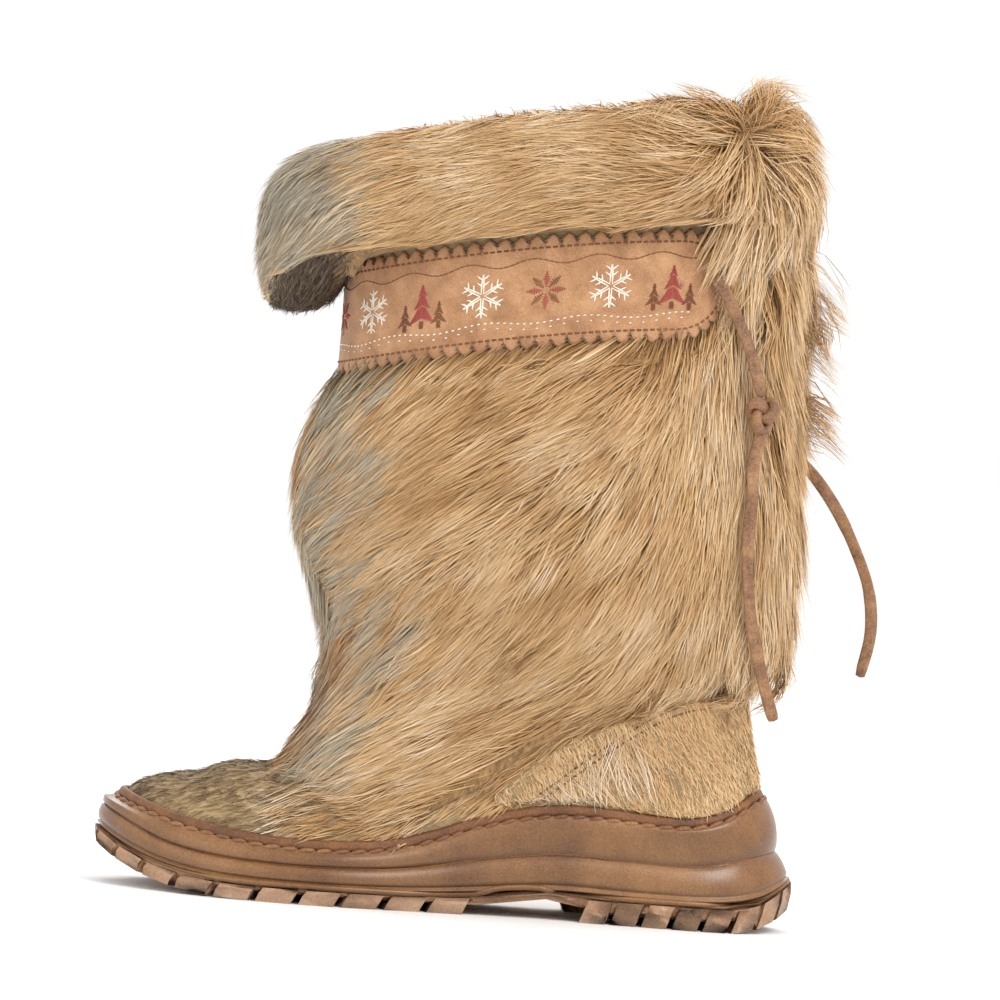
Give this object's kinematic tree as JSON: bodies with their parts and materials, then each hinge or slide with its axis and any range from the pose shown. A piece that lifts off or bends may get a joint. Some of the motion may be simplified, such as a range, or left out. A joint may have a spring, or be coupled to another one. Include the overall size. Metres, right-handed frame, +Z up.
{
  "type": "fur mukluk boot",
  "caption": "Calf-high mukluk of hair-on hide on a moulded rubber cup sole, with a rolled fur cuff, a pinked leather band and knotted thongs",
  "frame": {"origin": "on the floor, at the middle of the heel's flat tread", "axes": "+X from heel to toe, +Y to the wearer's left, which is the boot's outer side, +Z up the shaft"},
  "size_m": [0.3127, 0.1542, 0.3352],
  "materials": {
    "sole_rubber": "satin",
    "welt_leather": "matte",
    "felt": "matte",
    "hair_hide": "matte",
    "long_fur": "matte",
    "band_suede": "matte",
    "thong_leather": "matte"
  },
  "bodies": {
    "root": {"outsole": "sole_rubber", "cup_sidewall": "sole_rubber", "welt_strip": "welt_leather", "insole": "felt", "upper": "hair_hide", "heel_counter": "hair_hide", "shaft_fur": "long_fur", "cuff_fur": "long_fur", "band": "band_suede", "thong_outer": "thong_leather", "knot_outer": "thong_leather", "tail_outer": "thong_leather", "thong_inner": "thong_leather", "knot_inner": "thong_leather", "tail_inner": "thong_leather"}
  },
  "joints": []
}
